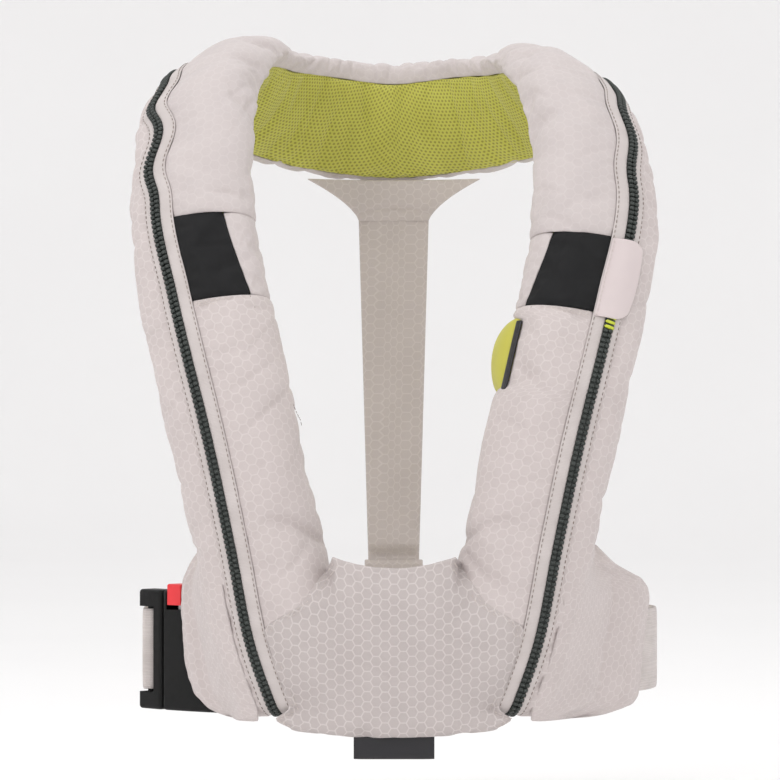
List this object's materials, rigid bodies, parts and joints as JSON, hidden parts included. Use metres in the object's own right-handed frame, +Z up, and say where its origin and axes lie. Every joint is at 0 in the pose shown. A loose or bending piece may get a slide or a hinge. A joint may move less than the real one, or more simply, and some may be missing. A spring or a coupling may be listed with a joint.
{
  "type": "inflatable life jacket",
  "caption": "Slim horseshoe inflatable life jacket with burst zip, mesh collar lining, back strap and side release waist buckle.",
  "frame": {"origin": "middle of the wearer's neck at shoulder height", "axes": "+Z up, the wearer faces -Y, the wearer's right side is at -X"},
  "size_m": [0.3244, 0.2692, 0.4402],
  "materials": {
    "light_shell_fabric": "coated ripstop nylon with a hexagon pattern",
    "dark_window_fabric": "plain black polyester",
    "lime_spacer_mesh": "open spacer mesh",
    "lime_bladder_fabric": "coated nylon",
    "light_webbing": "flat woven polyester webbing",
    "zip_tape": "woven polyester tape",
    "zip_tooth_plastic": "moulded acetal",
    "black_buckle_plastic": "fine matte moulded acetal",
    "red_button_plastic": "satin moulded acetal",
    "black_satin_tape": "smooth satin tape",
    "flap_fabric": "coated nylon",
    "steel_spring": "drawn wire",
    "grey_inflator_plastic": "moulded nylon",
    "cylinder_steel": "zinc plated steel",
    "lime_marker_plastic": "moulded plastic",
    "orange_whistle_plastic": "moulded plastic",
    "brass_pin": "turned"
  },
  "bodies": {
    "jacket": {"bladder": "lime_bladder_fabric", "whistle": "orange_whistle_plastic", "oral_tube": "black_buckle_plastic", "side_opening_lip": "lime_bladder_fabric", "collar_cover": "light_shell_fabric", "collar_gusset": "light_shell_fabric", "collar_lining": "lime_spacer_mesh", "zip_tape_inner": "zip_tape", "zip_tape_outer": "zip_tape", "zip_chain": "zip_tooth_plastic", "front_panel": "light_shell_fabric", "crotch_strap_keeper": "black_satin_tape", "belt_left": "light_webbing", "buckle_housing": "black_buckle_plastic", "button_spring": "steel_spring", "housing_loop": "light_webbing", "belt_keeper": "light_shell_fabric", "back_strap": "light_shell_fabric", "back_yoke": "light_shell_fabric", "inflator_body": "grey_inflator_plastic", "gas_cylinder": "cylinder_steel", "bobbin": "lime_marker_plastic", "inflator_cap": "lime_marker_plastic", "manifold_washer": "grey_inflator_plastic", "burst_marker": "lime_marker_plastic", "lower_cover_right": "light_shell_fabric", "lower_cover_left": "light_shell_fabric", "chest_window_right": "dark_window_fabric", "chest_window_left": "dark_window_fabric", "upper_cover_right": "light_shell_fabric", "upper_cover_left": "light_shell_fabric", "side_gusset_right": "light_shell_fabric", "side_gusset_left": "light_shell_fabric", "back_lining_right": "light_shell_fabric", "back_lining_left": "light_shell_fabric", "wing_right": "light_shell_fabric", "wing_left": "light_shell_fabric"},
    "belt_end": {"belt_right": "light_webbing", "buckle_frame": "black_buckle_plastic"},
    "button": {"release_button": "red_button_plastic"},
    "flap": {"label_flap": "flap_fabric"},
    "slider": {"zip_slider": "zip_tooth_plastic"},
    "pull": {"zip_pull": "zip_tooth_plastic"},
    "lever": {"firing_lever": "red_button_plastic"},
    "pin": {"piercing_pin": "brass_pin"},
    "valve_cap": {"oral_valve_cap": "black_buckle_plastic"}
  },
  "joints": [
    {"name": "belt_swing", "type": "hinge", "parent": "jacket", "child": "belt_end", "pos_m": [-0.02015, 0.09787, -0.3415], "axis": [0, 0, -1], "range_deg": [0, 60]},
    {"name": "button_press", "type": "slide", "parent": "jacket", "child": "button", "axis": [0, 0, -1], "range_m": [0, 0.0025], "stiffness_N_per_m": 600, "springref_m": -0.001, "deforming": ["button_spring"]},
    {"name": "flap_lift", "type": "hinge", "parent": "jacket", "child": "flap", "pos_m": [0.12009, -0.14336, -0.12942], "axis": [-0.2212, -0.3722, -0.9014], "range_deg": [0, 110]},
    {"name": "slider_run", "type": "slide", "parent": "jacket", "child": "slider", "axis": [1, 0, 0], "range_m": [-0.008, 0.008]},
    {"name": "pull_swing", "type": "hinge", "parent": "slider", "child": "pull", "pos_m": [0, 0.10605, -0.02411], "axis": [0, 0.0486, 0.9988], "range_deg": [0, 150]},
    {"name": "lever_fire", "type": "hinge", "parent": "jacket", "child": "lever", "pos_m": [-0.07356, -0.13138, -0.32741], "axis": [-0.1496, -0.9868, -0.0622], "range_deg": [0, 50]},
    {"name": "pin_pierce", "type": "slide", "parent": "jacket", "child": "pin", "axis": [-0.2061, -0.0304, 0.9781], "range_m": [0, 0.0041]},
    {"name": "cap_pull", "type": "slide", "parent": "jacket", "child": "valve_cap", "axis": [0.2345, 0.097, 0.9673], "range_m": [0, 0.0055]}
  ],
  "couplings": [
    {"joint": "pin_pierce", "follows": "lever_fire", "m_per_rad": 0.004584}
  ]
}
